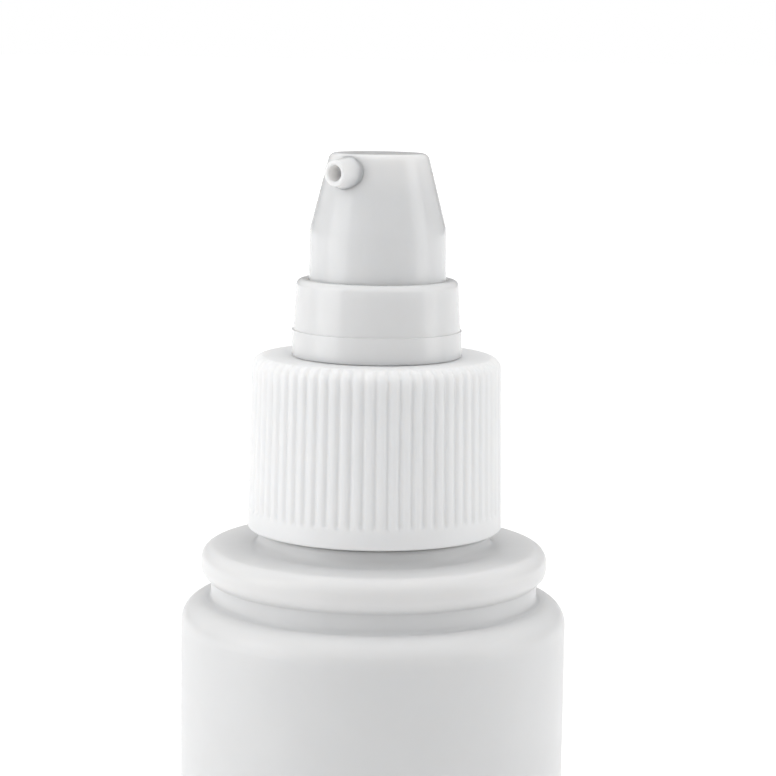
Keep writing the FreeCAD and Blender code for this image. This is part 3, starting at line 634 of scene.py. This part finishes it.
def make_closure():
    """Ribbed closure: rounded ribs that run over the top edge and end above a plain band."""
    top_r = CLOSURE_FOOT_R - CLOSURE_DRAFT
    rib_low = CLOSURE_FOOT_Z + RIB_FOOT
    flat_edge = top_r - CLOSURE_EDGE_ROUND
    outline = closure_outline(top_r, rib_low)
    first_rib_angle = CAMERA_AZIMUTH - QUARTER_TURN

    def rib_weight(point):
        radius, height = point
        if radius < flat_edge or height < rib_low:
            return 0.0
        from_foot = smooth_step((height - rib_low) / RIB_FOOT_FADE)
        return from_foot * smooth_step((radius - flat_edge + RIB_TOP_START) / RIB_TOP_FADE)

    weights = [rib_weight(p) for p in outline]

    def groove(angle):
        offset = (angle - first_rib_angle) * RIB_COUNT / TURN
        offset -= round(offset)
        spread = min(abs(offset) / RIB_GROOVE_HALF, 1.0)
        return 0.5 + 0.5 * math.cos(math.pi * spread)

    def shift(i, angle):
        return -RIB_DEPTH * weights[i] * groove(angle) if weights[i] > 0 else 0.0

    piece = keep_flats(lathe("closure_shell", outline, RIB_COUNT * SEGMENTS_PER_RIB, shift))
    finish_piece(piece, CLOSURE_PLASTIC, "closure", "closure_plastic", "closure")
    ridge = thread_ridge("closure_thread", CLOSURE_BORE_R, NECK_R + THREAD_ROOT_GAP,
                         THREAD_FIRST_Z - THREAD_PITCH / 2.0)
    finish_piece(ridge, CLOSURE_PLASTIC, "closure", "closure_plastic")


# ------------------------------------------------------------------ collar
def make_collar():
    """Guide collar: shank, plinth with a small step, and a tapered sleeve with a rounded lip."""
    seat = CLOSURE_TOP_Z + COLLAR_SEAT_GAP
    step_z = CLOSURE_TOP_Z + COLLAR_PLINTH_HEIGHT
    ledge = CLOSURE_TOP_Z + COLLAR_LEDGE_RISE
    guide_r = BUTTON_R + COLLAR_GUIDE_GAP
    outline = rounded_outline([
        (COLLAR_BORE_R, COLLAR_LOW_Z, COLLAR_EDGE_ROUND),
        (COLLAR_SHANK_R, COLLAR_LOW_Z, COLLAR_EDGE_ROUND),
        (COLLAR_SHANK_R, seat, COLLAR_SEAT_ROUND),
        (COLLAR_FOOT_R, seat, COLLAR_FOOT_ROUND),
        (COLLAR_FOOT_R, step_z, COLLAR_STEP_ROUND),
        (COLLAR_FOOT_R - COLLAR_STEP, step_z, COLLAR_STEP_INNER_ROUND),
        (COLLAR_FOOT_R - COLLAR_DRAFT, COLLAR_TOP_Z, COLLAR_LIP_ROUND),
        (guide_r, COLLAR_TOP_Z, COLLAR_GUIDE_ROUND),
        (guide_r, ledge, COLLAR_EDGE_ROUND),
        (COLLAR_BORE_R, ledge, COLLAR_EDGE_ROUND),
    ], support=0.02)
    piece = keep_flats(lathe("guide_collar", outline, COLLAR_SEGMENTS))
    finish_piece(piece, GLOSS_PLASTIC, "pump", "gloss_plastic", "collar")


# ------------------------------------------------------------------ actuator and nozzle
def button_outline():
    """Outline of the finger button, with its hollow and its hub."""
    inner = BUTTON_R - BUTTON_WALL
    crown = BUTTON_TOP_Z - BUTTON_CROWN
    slope = (BUTTON_R - BUTTON_EDGE_R) / (BUTTON_TOP_Z - TAPER_START_Z)
    stem_stop = STEM_TOP_Z + STEM_END_GAP
    hub_low = TAPER_START_Z - HUB_LENGTH
    return rounded_outline([
        (0, stem_stop),
        (HUB_BORE_R, stem_stop, HUB_BORE_ROUND),
        (HUB_BORE_R, hub_low, BUTTON_INNER_ROUND),
        (HUB_R, hub_low, BUTTON_INNER_ROUND),
        (HUB_R, crown, BUTTON_INNER_ROUND),
        (inner - slope * (crown - TAPER_START_Z), crown, BUTTON_INNER_ROUND),
        (inner, TAPER_START_Z, BUTTON_INNER_BEND_ROUND),
        (inner, SKIRT_Z, SKIRT_INNER_ROUND),
        (BUTTON_R, SKIRT_Z, SKIRT_ROUND),
        (BUTTON_R, TAPER_START_Z, BUTTON_BEND_ROUND),
        (BUTTON_EDGE_R, BUTTON_TOP_Z, BUTTON_EDGE_ROUND),
        (0, BUTTON_TOP_Z),
    ], arc_step=6.0)


def outer_side(outline):
    """The button's outer side, as (height, radius) rows from the skirt to the top."""
    skirt_edge = 0.5
    top_edge_r = 4.7
    skin = 0.9
    slope = 0.256
    side = [(height, radius) for radius, height in outline
            if height > SKIRT_Z + skirt_edge and radius > top_edge_r
            and radius > BUTTON_R - skin - slope * max(0.0, height - TAPER_START_Z)]
    side = np.array(side)
    return side[np.argsort(side[:, 0])]


def cut_round(piece, radius, near, far, height):
    """Cut a round hole along -Y through a piece."""
    sides = HOLE_SEGMENTS
    vertices = []
    for reach in (near, far):
        for k in range(sides):
            angle = TURN * k / sides
            vertices.append((radius * math.cos(angle), -reach, height + radius * math.sin(angle)))
    cutter = swept_tube("cutter", vertices, 2, sides)
    modifier = piece.modifiers.new("hole", "BOOLEAN")
    modifier.operation = "DIFFERENCE"
    modifier.solver = "EXACT"
    modifier.object = cutter
    bpy.context.view_layer.update()
    evaluated = piece.evaluated_get(bpy.context.evaluated_depsgraph_get())
    mesh = bpy.data.meshes.new_from_object(evaluated)
    piece.modifiers.clear()
    old = piece.data
    piece.data = mesh
    bpy.data.meshes.remove(old)
    bpy.data.objects.remove(cutter)
    mesh.shade_smooth()


def make_button(outline):
    """Tapered glossy finger button, with the nozzle's pocket and its channel."""
    piece = lathe("finger_button", outline, BUTTON_SEGMENTS)
    cut_round(piece, NOZZLE_POCKET_R, NOZZLE_ROOT, NOZZLE_TIP, NOZZLE_Z)
    cut_round(piece, NOZZLE_BORE_R, 0.0, NOZZLE_ROOT + CUT_OVERLAP, NOZZLE_Z)
    keep_flats(piece)
    finish_piece(piece, GLOSS_PLASTIC, "head", "gloss_plastic", "actuator")


def make_spout(outline):
    """Round spout, blended into the button's curved side."""
    side = outer_side(outline)
    rings = []

    def side_reach(x, z):
        radius = float(np.interp(z, side[:, 0], side[:, 1]))
        return math.sqrt(max(radius ** 2 - x ** 2, 1.0))

    def start(angle):
        return side_reach(NOZZLE_BASE_R * math.cos(angle),
                          NOZZLE_Z + NOZZLE_BASE_R * math.sin(angle))

    def blend(angle):
        return NOZZLE_BLEND * (1.0 - NOZZLE_BLEND_CUT * max(0.0, math.sin(angle)))

    def ring(place):
        """Add a ring; place(angle) gives its radius and its reach along -Y."""
        row = []
        for k in range(SPOUT_SEGMENTS):
            angle = TURN * k / SPOUT_SEGMENTS
            radius, reach = place(angle)
            row.append((radius * math.cos(angle), -reach, NOZZLE_Z + radius * math.sin(angle)))
        rings.append(row)

    ring(lambda a: (NOZZLE_SHANK_R, NOZZLE_ROOT))
    ring(lambda a: (NOZZLE_SHANK_R, start(a) - NOZZLE_SHANK_DEPTH))
    ring(lambda a: (NOZZLE_BASE_R + blend(a), start(a) - NOZZLE_BLEND_DEPTH))
    for k in range(SPOUT_BLEND_STEPS + 1):
        share = k / SPOUT_BLEND_STEPS
        fall = 1.0 - math.sqrt(1.0 - (1.0 - share) ** 2)
        ring(lambda a: (NOZZLE_BASE_R + blend(a) * fall,
                        start(a) + blend(a) * share - NOZZLE_BLEND_SINK))
    for share in (0.25, 0.5, 0.75, 1.0):
        ring(lambda a: (NOZZLE_BASE_R + (NOZZLE_TIP_R - NOZZLE_BASE_R) * share,
                        (start(a) + blend(a)) * (1 - share) + (NOZZLE_TIP - NOZZLE_TIP_BACK) * share))
    for k in range(1, SPOUT_ARC_STEPS + 1):
        turn = QUARTER_TURN * k / SPOUT_ARC_STEPS
        ring(lambda a: (NOZZLE_TIP_R - NOZZLE_TIP_ROUND * (1.0 - math.cos(turn)),
                        NOZZLE_TIP - NOZZLE_TIP_ROUND + NOZZLE_TIP_ROUND * math.sin(turn)))
    for k in range(SPOUT_ARC_STEPS + 1):
        turn = QUARTER_TURN * k / SPOUT_ARC_STEPS
        ring(lambda a: (NOZZLE_BORE_R + NOZZLE_MOUTH_ROUND * (1.0 - math.sin(turn)),
                        NOZZLE_TIP - NOZZLE_MOUTH_ROUND * (1.0 - math.cos(turn))))
    ring(lambda a: (NOZZLE_BORE_R, NOZZLE_TIP - NOZZLE_BORE_DEPTH))
    ring(lambda a: (NOZZLE_BORE_R, NOZZLE_ROOT))
    vertices = [vertex for row in rings for vertex in row]
    spout = new_object("spout", vertices, grid_faces(len(rings), SPOUT_SEGMENTS, closed_rows=True))
    fix_normals(spout)
    keep_flats(spout)
    finish_piece(spout, GLOSS_PLASTIC, "head", "gloss_plastic", "nozzle")


# ------------------------------------------------------------------ return spring
def make_spring():
    """Wire spring with closed end coils."""
    coil_r = SPRING_R - WIRE_R
    turns = ACTIVE_COILS + 2 * CLOSED_COILS
    steps = int(SPRING_STEPS_PER_TURN * turns)
    low = SPRING_LOW_Z + WIRE_R
    high = SPRING_TOP_Z - WIRE_R
    open_rise = (high - low) - 2 * CLOSED_COILS * CLOSED_PITCH
    vertices = []
    for i in range(steps + 1):
        turned = turns * i / steps
        if turned < CLOSED_COILS:
            z = low + CLOSED_PITCH * turned
        elif turned > turns - CLOSED_COILS:
            z = high - CLOSED_PITCH * (turns - turned)
        else:
            open_share = (turned - CLOSED_COILS) / ACTIVE_COILS
            z = low + CLOSED_PITCH * CLOSED_COILS + open_rise * open_share
        angle = TURN * turned
        for k in range(WIRE_SEGMENTS):
            around = TURN * k / WIRE_SEGMENTS
            radius = coil_r + WIRE_R * math.cos(around)
            vertices.append((radius * math.cos(angle), radius * math.sin(angle),
                             z + WIRE_R * math.sin(around)))
    piece = swept_tube("wire_spring", vertices, steps + 1, WIRE_SEGMENTS)
    piece.data.materials.append(SPRING_STEEL)
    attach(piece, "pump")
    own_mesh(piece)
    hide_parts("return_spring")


# ------------------------------------------------------------------ inner pieces kept from the CAD
def dress_inner_nodes():
    """Materials for the CAD nodes that stay."""
    looks = {
        "pump_housing": NATURAL_PLASTIC,
        "stem_retainer": NATURAL_PLASTIC,
        "ball_cage": NATURAL_PLASTIC,
        "stem": NATURAL_PLASTIC,
        "valve_rod": NATURAL_PLASTIC,
        "piston": NATURAL_PLASTIC,
        "dip_tube": TUBE_PLASTIC,
        "neck_gasket": GASKET_FOAM,
        "inlet_ball": BALL_STEEL,
    }
    for node, material in looks.items():
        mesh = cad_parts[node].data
        mesh.materials.clear()
        mesh.materials.append(material)


# ------------------------------------------------------------------ stage, light and camera
def make_floor():
    """Plain pale floor, which glows more behind the bottle than in front of it."""
    half = FLOOR_HALF
    mesh = bpy.data.meshes.new("floor")
    mesh.from_pydata([(-half, -half, 0), (half, -half, 0), (half, half, 0), (-half, half, 0)],
                     [], [(0, 1, 2, 3)])
    floor = bpy.data.objects.new("floor", mesh)
    bpy.context.scene.collection.objects.link(floor)
    material, tree, shader, place = new_material("pale_floor")
    noise = add(tree, "ShaderNodeTexNoise", Scale=FLOOR_NOISE_SCALE, Detail=4.0)
    tree.links.new(place.outputs["Object"], noise.inputs["Vector"])
    tone = add_ramp(tree, noise.outputs["Fac"], grey(FLOOR_DARK), grey(FLOOR_LIGHT))
    along = add(tree, "ShaderNodeVectorMath", operation="DOT_PRODUCT")
    along.inputs[1].default_value = (math.sin(CAMERA_AZIMUTH), -math.cos(CAMERA_AZIMUTH), 0.0)
    tree.links.new(place.outputs["Object"], along.inputs[0])
    glow = add_range(tree, along.outputs["Value"], FLOOR_GLOW_FROM, FLOOR_GLOW_TO,
                     FLOOR_GLOW_BEHIND, FLOOR_GLOW_AHEAD)
    tree.links.new(tone, shader.inputs["Base Color"])
    tree.links.new(glow, shader.inputs["Emission Strength"])
    shader.inputs["Roughness"].default_value = FLOOR_ROUGHNESS
    shader.inputs["Emission Color"].default_value = WHITE
    mesh.materials.append(material)


def make_world():
    """Soft studio surround, brightest overhead; the backdrop that the camera sees is white."""
    world = bpy.data.worlds.new("studio")
    bpy.context.scene.world = world
    world.use_nodes = True
    tree = world.node_tree
    output = tree.nodes["World Output"]
    surround = tree.nodes["Background"]
    place = add(tree, "ShaderNodeTexCoord")
    split = add(tree, "ShaderNodeSeparateXYZ")
    tree.links.new(place.outputs["Generated"], split.inputs["Vector"])
    strength = add_range(tree, split.outputs["Z"], 0.0, 1.0, SURROUND_LOW, SURROUND_HIGH)
    tree.links.new(strength, surround.inputs["Strength"])
    surround.inputs["Color"].default_value = WHITE
    backdrop = add(tree, "ShaderNodeBackground", Color=WHITE, Strength=BACKDROP_STRENGTH)
    rays = add(tree, "ShaderNodeLightPath")
    mix = add(tree, "ShaderNodeMixShader")
    tree.links.new(rays.outputs["Is Camera Ray"], mix.inputs[0])
    tree.links.new(surround.outputs[0], mix.inputs[1])
    tree.links.new(backdrop.outputs[0], mix.inputs[2])
    tree.links.new(mix.outputs[0], output.inputs["Surface"])


def softbox(name, side_deg, distance, width, height, centre_z, power):
    """Upright area light facing the bottle, side_deg round to the right from the camera."""
    angle = CAMERA_AZIMUTH + math.radians(side_deg)
    light = bpy.data.lights.new(name, "AREA")
    light.shape = "RECTANGLE"
    light.size = width
    light.size_y = height
    light.energy = power
    lamp = bpy.data.objects.new(name, light)
    lamp.location = (distance * math.sin(angle), -distance * math.cos(angle), centre_z)
    towards = Vector((0, 0, centre_z)) - lamp.location
    lamp.rotation_euler = towards.to_track_quat("-Z", "Y").to_euler()
    lamp.visible_camera = False
    bpy.context.scene.collection.objects.link(lamp)


def make_camera():
    """Camera at the photograph's viewing angle."""
    data = bpy.data.cameras.new("camera")
    data.lens = CAMERA_LENS
    data.sensor_width = CAMERA_SENSOR
    data.clip_start = CAMERA_CLIP_START
    camera = bpy.data.objects.new("camera", data)
    heading = CAMERA_AZIMUTH - CAMERA_YAW
    right = Vector((math.cos(heading), math.sin(heading), 0))
    level = Vector((-math.sin(heading), math.cos(heading), 0))
    forward = level * math.cos(CAMERA_PITCH) + Vector((0, 0, math.sin(CAMERA_PITCH)))
    up = right.cross(forward)
    turned_up = up * math.cos(CAMERA_ROLL) - right * math.sin(CAMERA_ROLL)
    turned_right = right * math.cos(CAMERA_ROLL) + up * math.sin(CAMERA_ROLL)
    axes = Matrix((turned_right, turned_up, -forward)).transposed()
    spot = Vector((CAMERA_DISTANCE * math.sin(CAMERA_AZIMUTH),
                   -CAMERA_DISTANCE * math.cos(CAMERA_AZIMUTH), CAMERA_Z))
    camera.matrix_world = Matrix.Translation(spot) @ axes.to_4x4()
    bpy.context.scene.collection.objects.link(camera)
    bpy.context.scene.camera = camera


make_bottle()
make_closure()
make_collar()
button = button_outline()
make_button(button)
make_spout(button)
make_spring()
dress_inner_nodes()
make_floor()
make_world()
softbox("softbox_left", side_deg=-72.0, distance=0.6, width=0.42, height=0.7, centre_z=0.22,
        power=1.75)
softbox("softbox_right", side_deg=79.0, distance=0.6, width=0.28, height=0.7, centre_z=0.22,
        power=0.95)
make_camera()
bpy.context.scene.view_settings.view_transform = "Standard"
